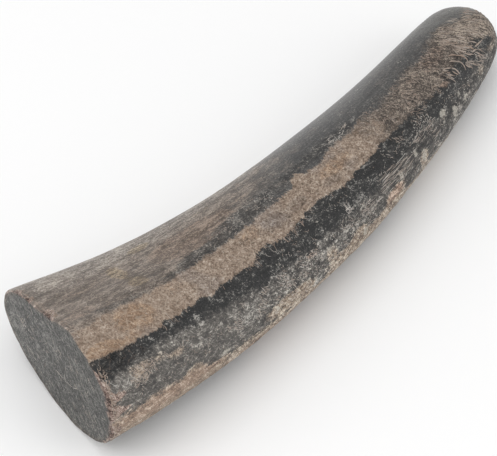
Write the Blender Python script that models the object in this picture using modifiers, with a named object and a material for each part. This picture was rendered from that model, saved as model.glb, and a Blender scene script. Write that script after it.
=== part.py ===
"""A length of bull horn, sawn off square at the wide end and blunt at the tip, lying on its side.

+X runs from the sawn face into the horn, the horn bends towards +Y, and +Z is up. The horn is shaped straight
first and bent last. A clock angle is counted from the top of the horn towards -Y, the outside of the bend.
The origin is the middle of the bounding box, on the surface that the horn lies on.
"""

import math

import bmesh
import bpy
from mathutils import Vector, noise

# Driving dimensions, in metres and degrees
LENGTH = 0.180  # along the middle line, from the saw cut to the end of the tip
BEND = 31.0  # between the cut and the tip
BEND_POWER = 0.84  # below 1: the horn bends a little more near the cut than near the tip
WIDTHS = (0.0520, 0.0452, 0.0396, 0.0338, 0.0272, 0.0222)  # at even steps from the cut to the tip
HEIGHTS = (0.0366, 0.0314, 0.0280, 0.0256, 0.0236, 0.0192)
TIP_LENGTH = 0.012  # the end over which the tip rounds off
REST_DEPTH = 0.0003  # how much the underside is rubbed flat where the horn lies
ARRIS = 0.0006  # the worn edge round the sawn face

# Outline of the sawn face: clock angle, and the distance from the middle as a share of a plain oval's.
# The top slopes up to a ridge at 21 degrees, steps down to a ledge, and turns down at 47 degrees.
SAWN_OUTLINE = (
    (0, 0.80), (11, 0.93), (21, 1.09), (32, 0.96), (47, 1.21), (62, 1.04), (82, 1.00),
    (102, 1.00), (122, 1.04), (140, 1.03), (160, 1.02), (180, 1.00), (202, 0.95), (224, 0.97),
    (245, 1.00), (266, 1.01), (288, 0.94), (308, 0.83), (327, 0.71), (344, 0.69),
)
OUTLINE_FADES = 0.62  # share of the length at which the section has become a plain oval
TWIST = -22.0  # how far the ridge and the ledge wander round the horn, in degrees over its length

# The rough stripe between the ridge and the ledge's edge, as clock angles at the cut before the twist
STRIPE_FROM = 17.0
STRIPE_TO = 42.0
STRIPE_WIDENS = 12.0  # degrees by which the upper edge wanders further than the lower one over the length
STRIPE_DEPTH = 0.0005  # the stripe lies below the rubbed surface over it
BAND_DEPTH = 0.0011  # the smooth band under the stripe starts with a step down
BAND_WIDTH = 22.0  # degrees over which the band comes back up
EDGE_WIDTH = 4.0  # degrees over which a step falls

# The piece broken out of the sawn edge under the stripe
BREAK_ALONG = 0.006
BREAK_LENGTH = 0.012
BREAK_ANGLE = 50.0
BREAK_WIDTH = 7.5
BREAK_DEPTH = 0.0022

LUMP_HEIGHT = 0.0005  # long shallow swellings and flats left by growth and rasping
LUMP_LENGTH = 0.034
LUMP_WIDTH = 0.011

STATIONS = 13
SMOOTHING = 2  # subdivision levels
TIP_FLAT = 0.36  # the last ring of the cage, as a share of the full section
HORN_COLOUR = (0.105, 0.092, 0.080, 1.0)
HORN_ROUGHNESS = 0.5


def at_share(values, share):
    """The smooth curve through evenly spaced values, at a share of the way from the first to the last."""
    place = min(max(share, 0.0), 1.0) * (len(values) - 1)
    index = min(int(place), len(values) - 2)
    t = place - index
    before = values[max(index - 1, 0)]
    start = values[index]
    end = values[index + 1]
    after = values[min(index + 2, len(values) - 1)]
    slope_in = (end - before) / 2
    slope_out = (after - start) / 2
    return (
        start * (2 * t**3 - 3 * t**2 + 1)
        + slope_in * (t**3 - 2 * t**2 + t)
        + end * (3 * t**2 - 2 * t**3)
        + slope_out * (t**3 - t**2)
    )


def half_sizes(along):
    """Half the width and half the height of the plain oval at a distance from the cut, tip rounding left out."""
    share = along / LENGTH
    return at_share(WIDTHS, share) / 2, at_share(HEIGHTS, share) / 2


def tip_closing(along):
    """1 along the horn, falling to 0 at the end of the tip in a blunt round."""
    into_tip = max(0.0, (along - LENGTH + TIP_LENGTH) / TIP_LENGTH)
    return max(0.0, 1.0 - into_tip**2.3) ** 0.48


def cage_ring(along, closing):
    """Points round one station, lying on a flat surface at a height of 0."""
    half_width, half_height = half_sizes(along)
    share = along / LENGTH
    shaped = max(0.0, 1.0 - share / OUTLINE_FADES) ** 1.2
    # Smoothing draws a ring of points in, so the cage stands out by as much.
    swell = 3.0 / (2.0 + math.cos(2.0 * math.pi / len(SAWN_OUTLINE)))
    points = []
    for angle, distance in SAWN_OUTLINE:
        turned = math.radians(angle + TWIST * share)
        reach = (1.0 + (distance - 1.0) * shaped) * closing * swell
        outwards = half_width * reach * math.sin(turned)
        up = half_height * (1.0 + reach * math.cos(turned))
        points.append(Vector((along, -outwards, up)))
    return points


def step(value, start, width):
    """0 below start, 1 above start + width, and smooth between."""
    t = min(max((value - start) / width, 0.0), 1.0)
    return t * t * (3.0 - 2.0 * t)


def relief(point):
    """How far the surface stands out at a point of the straight horn, in metres."""
    half_width, half_height = half_sizes(point.x)
    share = point.x / LENGTH
    clock = math.degrees(math.atan2(-point.y / half_width, point.z / half_height - 1.0))
    angle = clock - TWIST * share
    over_edge = step(angle, STRIPE_FROM - STRIPE_WIDENS * share, EDGE_WIDTH)
    in_stripe = over_edge * (1.0 - step(angle, STRIPE_TO, EDGE_WIDTH))
    in_band = step(angle, STRIPE_TO, EDGE_WIDTH) * (1.0 - step(angle, STRIPE_TO, BAND_WIDTH))
    fade = 1.0 - step(share, 0.75, 0.2)
    broken = math.exp(-(((point.x - BREAK_ALONG) / BREAK_LENGTH) ** 2))
    broken *= math.exp(-(((angle - BREAK_ANGLE) / BREAK_WIDTH) ** 2))
    lumps = noise.noise((point.x / LUMP_LENGTH, point.y / LUMP_WIDTH, point.z / LUMP_WIDTH))
    lumps *= step(point.z, 0.1 * half_height, 0.5 * half_height)
    return (
        LUMP_HEIGHT * lumps
        - STRIPE_DEPTH * in_stripe * fade
        - BAND_DEPTH * in_band * fade
        - BREAK_DEPTH * broken
    )


def bent(point):
    """The place of a point of the straight horn once the horn is bent."""
    steps = 60
    share = point.x / LENGTH
    middle = Vector((0.0, 0.0))
    for index in range(steps):
        heading = math.radians(BEND) * (share * (index + 0.5) / steps) ** BEND_POWER
        middle += Vector((math.cos(heading), math.sin(heading))) * (point.x / steps)
    heading = math.radians(BEND) * share**BEND_POWER
    inward = Vector((-math.sin(heading), math.cos(heading)))
    place = middle + inward * point.y
    return Vector((place.x, place.y, point.z))


def straight_cage():
    """Rings bridged from the cut to the tip, closed by a flat face at each end."""
    cage = bmesh.new()
    crease = cage.edges.layers.float.new("crease_edge")
    loops = []
    body_end = LENGTH - TIP_LENGTH
    stops = [body_end * index / (STATIONS - 4) for index in range(STATIONS - 3)]
    stops += [LENGTH - TIP_LENGTH * part for part in (0.55, 0.20, 0.0)]
    for index, along in enumerate(stops):
        last = index == len(stops) - 1
        points = cage_ring(along, TIP_FLAT if last else tip_closing(along))
        ring = [cage.verts.new(point) for point in points]
        loops.append([cage.edges.new((a, b)) for a, b in zip(ring, ring[1:] + ring[:1])])
    for near, far in zip(loops, loops[1:]):
        bmesh.ops.bridge_loops(cage, edges=near + far)
    for edge in loops[0]:
        edge[crease] = 1.0
    bmesh.ops.contextual_create(cage, geom=loops[0])
    bmesh.ops.contextual_create(cage, geom=loops[-1])
    bmesh.ops.recalc_face_normals(cage, faces=cage.faces)
    mesh = bpy.data.meshes.new("horn_cage")
    cage.to_mesh(mesh)
    cage.free()
    return mesh


def smoothed(cage_mesh):
    """The cage's mesh after its subdivision."""
    cage = bpy.data.objects.new("horn_cage", cage_mesh)
    bpy.context.scene.collection.objects.link(cage)
    subdivision = cage.modifiers.new("smooth", "SUBSURF")
    subdivision.levels = SMOOTHING
    subdivision.render_levels = SMOOTHING
    graph = bpy.context.evaluated_depsgraph_get()
    mesh = bpy.data.meshes.new_from_object(cage.evaluated_get(graph))
    bpy.data.objects.remove(cage)
    bpy.data.meshes.remove(cage_mesh)
    return mesh


def shape(mesh):
    """Gives the smooth straight horn its relief, its worn edge and its flat underside, and bends it."""
    horn = bmesh.new()
    horn.from_mesh(mesh)
    for vert in horn.verts:
        on_sawn_face = vert.co.x < 1e-6 and all(face.normal.x < -0.9 for face in vert.link_faces)
        if on_sawn_face:
            continue
        half_height = half_sizes(vert.co.x)[1]
        outward = Vector((0.0, vert.co.y, vert.co.z - half_height))
        vert.co += outward.normalized() * relief(vert.co)
    arris = [edge for edge in horn.edges if all(vert.co.x < 1e-6 for vert in edge.verts)]
    arris = [edge for edge in arris if any(face.normal.x > -0.9 for face in edge.link_faces)]
    bmesh.ops.bevel(
        horn, geom=arris, offset=ARRIS, segments=2, profile=0.5, affect="EDGES", material=-1
    )
    for vert in horn.verts:
        vert.co = bent(vert.co)
        vert.co.z = max(vert.co.z - REST_DEPTH, 0.0)
    low = Vector([min(vert.co[axis] for vert in horn.verts) for axis in range(3)])
    high = Vector([max(vert.co[axis] for vert in horn.verts) for axis in range(3)])
    middle = Vector(((low.x + high.x) / 2, (low.y + high.y) / 2, 0.0))
    bmesh.ops.translate(horn, verts=horn.verts, vec=-middle)
    horn.to_mesh(mesh)
    horn.free()


def horn_material():
    material = bpy.data.materials.new("horn")
    material.use_nodes = True
    shader = material.node_tree.nodes["Principled BSDF"]
    shader.inputs["Base Color"].default_value = HORN_COLOUR
    shader.inputs["Roughness"].default_value = HORN_ROUGHNESS
    shader.inputs["Metallic"].default_value = 0.0
    return material


def main():
    for obj in list(bpy.data.objects):
        bpy.data.objects.remove(obj)
    collection = bpy.data.collections.new("bull_horn")
    bpy.context.scene.collection.children.link(collection)
    mesh = smoothed(straight_cage())
    shape(mesh)
    mesh.name = "horn"
    mesh.materials.append(horn_material())
    mesh.shade_smooth()
    mesh.set_sharp_from_angle(angle=math.radians(35))
    collection.objects.link(bpy.data.objects.new("horn", mesh))


main()
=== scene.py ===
"""A length of bull horn, sawn off square at the wide end and worn blunt at the tip, on a pale floor."""

import functools
import math
import random

import bmesh
import bpy
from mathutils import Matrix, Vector, noise
from mathutils.bvhtree import BVHTree


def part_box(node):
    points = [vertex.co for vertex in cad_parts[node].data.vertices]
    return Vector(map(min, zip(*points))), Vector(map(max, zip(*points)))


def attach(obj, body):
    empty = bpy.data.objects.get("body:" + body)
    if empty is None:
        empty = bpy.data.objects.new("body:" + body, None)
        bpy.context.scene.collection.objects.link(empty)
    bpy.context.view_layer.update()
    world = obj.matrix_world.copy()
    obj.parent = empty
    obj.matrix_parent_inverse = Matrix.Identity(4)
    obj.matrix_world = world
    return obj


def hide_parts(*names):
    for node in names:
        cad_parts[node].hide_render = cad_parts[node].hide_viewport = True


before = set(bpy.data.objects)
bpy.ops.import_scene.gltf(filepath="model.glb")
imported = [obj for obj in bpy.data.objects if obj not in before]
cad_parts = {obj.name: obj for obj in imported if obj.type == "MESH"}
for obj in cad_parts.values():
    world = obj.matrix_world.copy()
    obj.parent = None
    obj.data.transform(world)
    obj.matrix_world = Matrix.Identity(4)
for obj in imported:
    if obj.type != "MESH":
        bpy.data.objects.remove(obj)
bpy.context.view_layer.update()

# The horn
# One grown piece of keratin, built up in thin cones round one another, sawn across where it is still solid.
# Its form is the CAD solid's. The skin here is a closer mesh over that form, with the marks that growth, the
# rasp and the saw left in it.

LENGTH = 0.180  # along the middle line, from the saw cut to the end of the tip
BEND = math.radians(31.0)  # between the cut and the tip
BEND_POWER = 0.84  # below 1: the horn bends a little more near the cut than near the tip
MIDDLE_AT_CUT = -0.01561  # how far to the outside of the box's middle the middle line starts
WIDTHS = (0.0520, 0.0452, 0.0396, 0.0338, 0.0272, 0.0222)  # at even steps from the cut to the tip
HEIGHTS = (0.0366, 0.0314, 0.0280, 0.0256, 0.0236, 0.0192)
TIP_FROM = 0.168  # from here on the surface is met by rays that fan out towards the tip
GROWTH_RADIUS = 0.018  # of the horn as its growth lines are drawn, before they narrow with it

HORN_LOW, HORN_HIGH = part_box("horn")
MIDDLE_STEP = 0.0005
MIDDLE_REACH = 1.02 * LENGTH  # the middle line's points run on a little past the tip


def middle_places():
    """Points of the middle line in plan, an even step apart, from the cut to past the tip."""
    places = [Vector((HORN_LOW[0], MIDDLE_AT_CUT))]
    for index in range(int(MIDDLE_REACH / MIDDLE_STEP)):
        heading = BEND * ((index + 0.5) * MIDDLE_STEP / LENGTH) ** BEND_POWER
        places.append(places[-1] + MIDDLE_STEP * Vector((math.cos(heading), math.sin(heading))))
    return places


MIDDLE = middle_places()


def at_share(values, share):
    """The smooth curve through evenly spaced values, at a share of the way from the first to the last."""
    place = min(max(share, 0.0), 1.0) * (len(values) - 1)
    index = min(int(place), len(values) - 2)
    t = place - index
    before = values[max(index - 1, 0)]
    start = values[index]
    end = values[index + 1]
    after = values[min(index + 2, len(values) - 1)]
    rise = (end - before) / 2 * (t**3 - 2 * t**2 + t) + (after - start) / 2 * (t**3 - t**2)
    return start * (2 * t**3 - 3 * t**2 + 1) + end * (3 * t**2 - 2 * t**3) + rise


def step(value, low, high):
    """0 below low, 1 above high, smooth between; low may be the larger."""
    t = min(max((value - low) / (high - low), 0.0), 1.0)
    return t * t * (3.0 - 2.0 * t)


def line_at(points, place):
    """The value of a line listed as points, eased from one point to the next."""
    if place <= points[0][0]:
        return points[0][1]
    for (start, low), (end, high) in zip(points, points[1:]):
        if place <= end:
            return low + (high - low) * step(place, start, end)
    return points[-1][1]


def apart(clock, middle):
    """Degrees from one clock angle round to another, from -180 to 180."""
    return (clock - middle + 180.0) % 360.0 - 180.0


def ray(along, clock):
    """Start and direction of the ray from the middle line that meets the skin at a place on the horn."""
    base = min(max(along, 0.0), TIP_FROM)
    index = min(int(base / MIDDLE_STEP), len(MIDDLE) - 2)
    plan = MIDDLE[index].lerp(MIDDLE[index + 1], base / MIDDLE_STEP - index)
    heading = BEND * (base / LENGTH) ** BEND_POWER
    half_width = at_share(WIDTHS, base / LENGTH) / 2
    half_height = at_share(HEIGHTS, base / LENGTH) / 2
    turn = math.radians(clock)
    outwards = Vector((math.sin(heading), -math.cos(heading), 0.0)) * (half_width * math.sin(turn))
    radial = (outwards + Vector((0.0, 0.0, half_height * math.cos(turn)))).normalized()
    lean = math.pi / 2 * min(max((along - TIP_FROM) / (LENGTH - TIP_FROM), 0.0), 1.0)
    forwards = Vector((math.cos(heading), math.sin(heading), 0.0))
    return Vector((plan.x, plan.y, half_height)), radial * math.cos(lean) + forwards * math.sin(lean)


@functools.cache
def girth_step(along):
    """Length round the horn of one degree of the clock."""
    share = along / LENGTH
    return math.pi * (at_share(WIDTHS, share) + at_share(HEIGHTS, share)) / 2 / 360.0


SAME_POINT = 0.00001
NEARLY_FLAT = 0.7  # radians by which two triangles may differ and still join into one face
ROUNDING = 2  # subdivision levels between the solid's facets


def placed(name, data):
    """A new object in the scene, at the origin, that holds a mesh, a lamp or a camera."""
    holder = bpy.data.objects.new(name, data)
    bpy.context.scene.collection.objects.link(holder)
    return holder


def smooth_form():
    """The CAD solid's surface, merged and rounded between its facets, for rays to meet."""
    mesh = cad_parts["horn"].data.copy()
    form = bmesh.new()
    form.from_mesh(mesh)
    bmesh.ops.remove_doubles(form, verts=form.verts, dist=SAME_POINT)
    bmesh.ops.join_triangles(
        form, faces=form.faces, angle_face_threshold=NEARLY_FLAT, angle_shape_threshold=NEARLY_FLAT,
        cmp_seam=False,
    )
    form.to_mesh(mesh)
    form.free()
    holder = placed("form", mesh)
    rounding = holder.modifiers.new("round", "SUBSURF")
    rounding.levels = ROUNDING
    rounding.render_levels = ROUNDING
    tree = BVHTree.FromObject(holder, bpy.context.evaluated_depsgraph_get())
    bpy.data.objects.remove(holder)
    bpy.data.meshes.remove(mesh)
    return tree


FORM = smooth_form()

MM = 0.001

# Lines that part the horn's zones: millimetres from the cut, and clock angle from the top to the outside
STRIPE_TOP = (
    (0, 20), (12, 17.5), (30, 16), (36, 13.5), (52, 12.5), (60, 9), (72, 7.5), (78.5, 6), (80, -2.5),
    (82.5, -3), (84.5, 2), (90, 3), (95, -0.5), (110, -1.5), (118, 1), (125, -1), (130, -4), (137, -7),
    (142, -3), (147, -5), (152, -12), (158, -14), (161, -10), (164, -2), (168, 5), (172, 14), (180, 22),
)
STRIPE_LOW = (
    (0, 40), (8, 40.5), (12, 39.5), (22, 39.5), (26, 38), (30, 36.5), (50, 36.5), (53, 35.5), (55.5, 32),
    (58.5, 30.5), (61, 32), (62.5, 35), (67, 34), (71, 33), (75, 30.5), (80, 29), (84, 31), (88, 33.5),
    (93, 33.5), (96, 31), (105, 30.5), (108, 28.5), (112, 31), (125, 31), (130, 35), (133, 38), (138, 38),
    (140, 46), (142, 45), (143.5, 35), (146, 33), (148, 37), (150, 35), (153, 39), (155, 37), (158, 37),
    (163, 38), (166, 48), (170, 60), (180, 75),
)
BAND_LOW = (
    (0, 55), (8, 54), (12, 52), (20, 49), (30, 49), (40, 52), (50, 54), (60, 56), (80, 57), (100, 58),
    (125, 60), (150, 64), (163, 66), (180, 72),
)
BAND_UNDERLAP = 8.0  # degrees by which the black band runs on under the stripe
TIP_CAP = 0.1762  # from here on tan skin covers the tip all round, and growth lines close to a point
UPPER_ENDS = -118.0  # clock angle at which the rubbed upper side ends, low on the inner side
BROWN_ENDS = ((-110, 110), (-60, 81), (-20, 74), (5, 58), (14, 40), (55, 0))  # clock angle and distance
BROWN_FADES_FROM = -0.022  # the brown skin turns grey between these distances from its end
BROWN_FADES_TO = 0.026
# How far the zones' edges stray from their lines: height, and length and width along and across the growth
EDGE_WANDER = ((0.0003, 0.0060, 0.0060), (0.0003, 0.0018, 0.0022))

# Patches that differ from their zone: distance and clock angle of the middle, half the length in millimetres
# and half the width in degrees, and strength.
# Tan ones are left where the outer layer has gone, pale ones are scuffed white, dark ones are rubbed bare,
# warm ones are stained reddish, and cream ones are thick flakes of the layer below.
PATCHES = {
    "tan": (
        (14, 99, 13, 12, 1.0), (24.5, 88, 2.5, 7, 0.7), (12, 57, 4.5, 3, 0.5), (9.5, 64, 1.8, 4.5, 0.4),
        (20.5, 60, 2.2, 3, 0.55), (57, 87, 7, 7, 1.0), (63, 91, 2, 7, 1.0), (68, 60, 2, 4, 0.4),
        (74, 76, 1.8, 7, 0.8), (80, 90, 7, 6, 1.0), (85.5, 83, 3, 6, 1.0), (94, 91, 10, 5, 0.8),
        (103, 82, 4, 7, 0.9), (118.5, 82, 1.7, 9, 0.9), (157, 76, 2, 7, 0.5), (134, 2, 6, 8, 0.6),
        (139.5, 30, 1.6, 10, 0.9), (158, 6, 5, 12, 0.6), (164, 24, 4, 12, 0.6), (151, 24, 2, 8, 0.3),
        (166, 12, 4, 12, 0.4), (168, 50, 4, 20, 0.9), (23.8, -20, 1.8, 12, 0.8), (24.5, 3, 2.2, 5, 0.9),
        (35.5, -42, 3, 4, 0.9), (58, -39, 4, 2, 0.5), (45, 111, 34, 12, 0.8), (100, 110, 30, 13, 0.7),
        (70, 130, 20, 14, 0.6), (130, 134, 16, 18, 0.6), (45, -150, 20, 22, 0.7), (100, -135, 18, 20, 0.6),
        (150, -120, 10, 25, 0.5),
    ),
    "pale": (
        (4.5, 60, 3, 5, 0.5), (44.5, 62, 1.8, 5, 0.7), (43.5, 73, 2.2, 6, 0.7), (51, 79, 4, 4, 0.5),
        (60, 68, 6, 8, 0.2), (67, 70, 3, 6, 0.3), (73.5, 73, 2.2, 6, 0.6), (84, 70, 4, 5, 0.2),
        (90, 52, 3, 3, 0.5), (72, 93, 24, 5, 0.5), (120, 47, 4, 3, 0.3), (133, 50, 4, 3, 0.2),
        (127, 78, 1.5, 4, 0.6), (162, 49.5, 2.2, 0.9, 1.0), (154, 72, 1.5, 3, 0.7), (61, -4, 4, 4, 0.6),
        (68, -8, 3, 4, 0.6), (38.5, 8, 2, 2, 0.6), (110, -8, 1.5, 2, 0.9), (102, -4, 3, 1, 0.6),
        (111, -26, 0.6, 3, 0.6), (142, 106, 16, 10, 0.5), (60, 180, 20, 24, 0.5), (115, 170, 16, 30, 0.5),
    ),
    "dark": (
        (16, 14, 18, 2.0, 0.6), (36, 11.0, 6, 2.4, 0.6), (46.5, 8, 8.5, 4.5, 1.0), (61, 0, 9, 6, 1.0),
        (76, -3, 6, 4, 0.5), (96, -7, 12, 5, 0.9), (115, 16, 3, 8, 0.6), (144, 39, 2.2, 5, 0.8),
        (149, 56, 6, 8, 1.0), (160, 57, 6, 7, 1.0), (161.5, 42, 2, 5, 0.8), (18, 74, 14, 7, 0.3),
        (46, 92, 4, 8, 0.5), (30, 96, 2, 9, 0.8), (112, 60, 12, 7, 0.5), (127, 70, 10, 8, 0.7),
        (150, 71, 4, 8, 0.6), (112, 80, 3, 6, 0.8), (142, 72, 6, 8, 0.5), (83, 75, 3, 6, 0.5),
        (152, 41, 6, 7, 0.8), (71, -10, 9, 4, 0.4), (65, 20, 7, 6, 0.6), (75, 19, 2.5, 4, 0.9),
        (88, 23, 3, 4, 0.7), (25, -120, 16, 16, 0.6), (90, 150, 18, 14, 0.6), (80, -165, 16, 12, 0.6),
    ),
    "warm": (
        (4.5, 36, 3.5, 3.5, 1.0), (16, 27, 5, 8, 0.7), (10.5, 38, 4, 2, 0.6), (31, 20, 4, 5, 0.4),
        (57.5, 17, 4, 6, 0.5), (93, 14, 6, 7, 0.6), (46, -12, 11, 15, 0.9), (6, 7, 4, 6, 0.5),
        (13, -20, 6, 10, 0.4), (65, -20, 6, 8, 0.4), (139.5, 43, 1.6, 4, 1.0), (146, 8, 6, 12, 0.5),
        (68, 60, 2, 4, 0.8), (103, 80, 4, 7, 0.7), (50, 150, 20, 30, 0.6), (16, 95, 14, 8, 0.5),
    ),
    "cream": (
        (34.5, 91, 1.4, 3.5, 0.9), (107, 71, 0.7, 6, 0.9), (115.5, 66, 0.7, 3.5, 1.0),
        (118.5, 80, 1.1, 7, 0.8), (132.5, 62, 1.2, 4, 1.0), (138, 79, 1.1, 7, 1.0),
        (142.5, 64, 0.7, 4, 0.7), (145, 79, 1, 6, 0.6), (147, 84, 0.8, 5, 0.5), (131.5, 73, 0.6, 3, 0.7),
        (74, 71, 1.2, 3, 0.6), (89.5, 61, 1.2, 1.6, 0.7), (52, 86, 1, 4, 0.6), (64, 84, 1, 5, 0.6),
        (88, 88, 1, 5, 0.7),
    ),
}


@functools.cache
def patches_near(kind, place):
    return [patch for patch in PATCHES[kind] if abs(patch[0] - place) < 1.8 * patch[2]]


def patch_weight(kind, along, clock):
    """How much a place belongs to the patches of a kind."""
    place = along / MM
    weight = 0.0
    for middle, turn, half_length, half_width, strength in patches_near(kind, place):
        reach = ((place - middle) / half_length) ** 2 + (apart(clock, turn) / half_width) ** 2
        if reach < 3.0:
            weight += strength * step(reach, 3.0, 0.1)
    return weight


def growth(along, clock):
    """A place in coordinates that follow the horn's growth, and close to a point at the end of the tip."""
    turn = math.radians(clock)
    radius = GROWTH_RADIUS * step(along, LENGTH, TIP_CAP)
    return Vector((along, radius * math.sin(turn), radius * math.cos(turn)))


def mottle(place, length, width):
    """Smooth noise from -1 to 1 with a given size along and across the growth."""
    return 2.0 * noise.noise((place.x / length, place.y / width, place.z / width))


def uneven(place, *swellings):
    """Smooth unevenness at a place, the sum of some that each have a height, a length and a width."""
    return sum(height * mottle(place, length, width) for height, length, width in swellings)


@functools.cache
def lines_at(along):
    return [line_at(line, along / MM) for line in (STRIPE_TOP, STRIPE_LOW, BAND_LOW)]


def zones(along, clock):
    """The depth of a place inside the stripe and the black band, in metres, and its weight in the rest."""
    degree = girth_step(along)
    top, low, under = lines_at(along)
    place = growth(along, clock)
    wander = uneven(place, *EDGE_WANDER)
    from_stripe = apart(clock, (top + low) / 2)
    stripe = max(((low - top) / 2 - abs(from_stripe)) * degree, along - TIP_CAP) + wander
    under_stripe = low - BAND_UNDERLAP
    band = ((under - under_stripe) / 2 - abs(apart(clock, (under_stripe + under) / 2))) * degree - wander
    side = math.sin(math.radians(from_stripe))
    upper = step(from_stripe, 8.0, -8.0) * step(apart(clock, UPPER_ENDS), -14.0, 14.0)
    brown_end = MM * line_at(BROWN_ENDS, clock)
    brown = upper * step(along, brown_end + BROWN_FADES_TO, brown_end + BROWN_FADES_FROM)
    return stripe, band, side, brown, upper - brown


# How torn the rim of the saw cut is, by clock angle: most on the outer side, under the stripe.
FRAY = (
    (-180, 0.15), (-100, 0.20), (-60, 0.55), (-38, 0.75), (-8, 0.70), (10, 0.40), (38, 0.30), (43, 0.65),
    (58, 0.75), (66, 1.00), (100, 1.00), (118, 0.60), (135, 0.20), (180, 0.15),
)
FRAY_REACH = 0.0034  # how far the torn rim runs on along the side
FRAY_ON_FACE = 0.0014

# The skin's finest relief. Unevenness is given as a height, and a length and a width on the growth lines.
STRIPE_GRAIN = ((0.00008, 0.0012, 0.0012), (0.00006, 0.0032, 0.0030))
RASP_MARKS = ((0.00005, 0.0130, 0.0011), (0.00008, 0.0120, 0.0045))
SCUFF_LUMPS = (0.00006, 0.0036, 0.0030)
TIP_LUMPS = (0.00004, 0.0020, 0.0020)
FLAKE_DEPTH = 0.00008  # of the places that flakes have left on the scuffed side
LEDGE_DEPTH = 0.00030  # the skin steps down below the stripe, and comes back up over the ledge's reach
LEDGE_REACH = 0.0028
LEDGE_ENDS = (0.140, 0.110)
FACET_DEPTH = 0.00080  # of the breaks in the bare hollow by the cut
HOLLOW_ENDS = (0.016, 0.009)
LAYERS_START = (0.150, 0.162)  # where the thin layers that end at the tip begin to show
LAYER_GAP = 0.0008
LAYER_HEIGHT = 0.00005
LAYER_TURN = math.radians(30.0)
LAYER_SLANT = 0.014  # how far the layers' edges swing along the horn
LAYER_CROSSING = 0.75  # how much of a way along the horn crosses the layers
LAYER_WANDER = (0.0007, 0.0060, 0.0060)
SUNK = 0.00005  # the whole skin lies this far inside the smooth form


def frayed(along, clock):
    """How torn a place near the saw cut is; along is below 0 on the sawn face."""
    strength = line_at(FRAY, apart(clock, 0.0)) * (1.0 + 0.45 * mottle(growth(0.0, clock), 1.0, 0.0028))
    reach = strength * (strength * FRAY_REACH if along >= 0.0 else FRAY_ON_FACE)
    return strength * step(abs(along), reach, 0.3 * reach)


def relief(along, clock):
    """How far the skin stands out from the smooth form, in metres."""
    place = growth(along, clock)
    stripe, band, side, brown, polish = zones(along, clock)
    in_stripe = step(stripe, -0.0003, 0.0003)
    scuffed = step(band, 0.0, -0.001) * step(brown + polish, 0.7, 0.2)
    flakes = step(mottle(place, 0.0035, 0.0024), 0.1, 0.3)
    lumps = uneven(place, SCUFF_LUMPS) - FLAKE_DEPTH * flakes
    ledge = 0.0
    if side > 0.0:
        ledge = -LEDGE_DEPTH * step(along, *LEDGE_ENDS) * math.exp(min(stripe, 0.0) / LEDGE_REACH)
    broken = step(along, *HOLLOW_ENDS) * step(band, -0.0006, 0.0006)
    facets = -FACET_DEPTH * abs(mottle(place, 0.0036, 0.0026))
    swing = LAYER_SLANT * (place.y * math.cos(LAYER_TURN) + place.z * math.sin(LAYER_TURN)) / GROWTH_RADIUS
    across_layers = LAYER_CROSSING * (along - swing) + uneven(place, LAYER_WANDER)
    layers = LAYER_HEIGHT * math.sin(across_layers * 2 * math.pi / LAYER_GAP)
    height = in_stripe * uneven(place, *STRIPE_GRAIN)
    bare = brown * uneven(place, *RASP_MARKS) + scuffed * lumps + ledge + broken * facets
    height += (1.0 - in_stripe) * bare
    height += step(along, *LAYERS_START) * (layers + uneven(place, TIP_LUMPS))
    return height - SUNK


def on_horn(along, clock):
    """A point on the skin, and the direction that points away from the horn there."""
    start, direction = ray(along, clock)
    met = FORM.ray_cast(start, direction)[0]
    return met + direction * relief(along, clock), direction


def kept_inside(point):
    """The point, moved no further than the CAD solid's box."""
    return Vector([min(max(value, low), high) for value, low, high in zip(point, HORN_LOW, HORN_HIGH)])


# The sawn face's marks lie across it in long shallow arcs, from a saw drawn down towards the outside.
SAW_SLOPE = math.radians(40.0)
SAW_CURVE = 9.0  # how much the arcs bend, per metre
CUT_MIDDLE = Vector((HORN_LOW[0], -0.0171, 0.0172))


def saw_place(y, z):
    """A place on the sawn face, as distance along the saw marks and distance across them."""
    across_face = CUT_MIDDLE.y - y
    up = z - CUT_MIDDLE.z
    along_marks = across_face * math.cos(SAW_SLOPE) - up * math.sin(SAW_SLOPE)
    across_marks = across_face * math.sin(SAW_SLOPE) + up * math.cos(SAW_SLOPE)
    return along_marks, across_marks + SAW_CURVE * along_marks**2


def sawn_depth(y, z):
    """How deep the sawn face lies under a flat cut."""
    along_marks, across_marks = saw_place(y, z)
    marks = noise.noise((along_marks / 0.030, across_marks / 0.0011, 0.0))
    waves = noise.noise((along_marks / 0.012, across_marks / 0.006, 3.0))
    pits = step(noise.noise((y / 0.0028, z / 0.0028, 7.0)), 0.42, 0.6)
    return max(0.00007 + 0.00006 * marks + 0.00004 * waves + 0.00010 * pits, 0.0)


RIM_END = 0.0008  # the skin is met by rays from here on, and the worn edge before it is a round
RIM_ROUND = 0.0005
CHIP_DEPTH = 0.0008


def rim_point(clock, turn):
    """A point on the worn edge: turn runs from 0 on the sawn face to 1 on the side."""
    point, outwards = on_horn(RIM_END, clock)
    place = growth(0.0, clock)
    radius = RIM_ROUND * (1.0 + 0.3 * mottle(place, 1.0, 0.004))
    angle = turn * math.pi / 2
    bite = max(0.0, mottle(place, 1.0, 0.0011) + 0.5 * mottle(growth(0.01, clock), 1.0, 0.0005))
    chip = CHIP_DEPTH * bite * frayed(0.0, clock) ** 1.5 * math.sin(math.pi * (0.15 + 0.7 * turn))
    inwards = radius * (1.0 - math.sin(angle)) + chip
    point -= outwards * inwards
    point.x = HORN_LOW[0] + radius * (1.0 - math.cos(angle)) + 0.4 * chip
    return point


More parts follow.
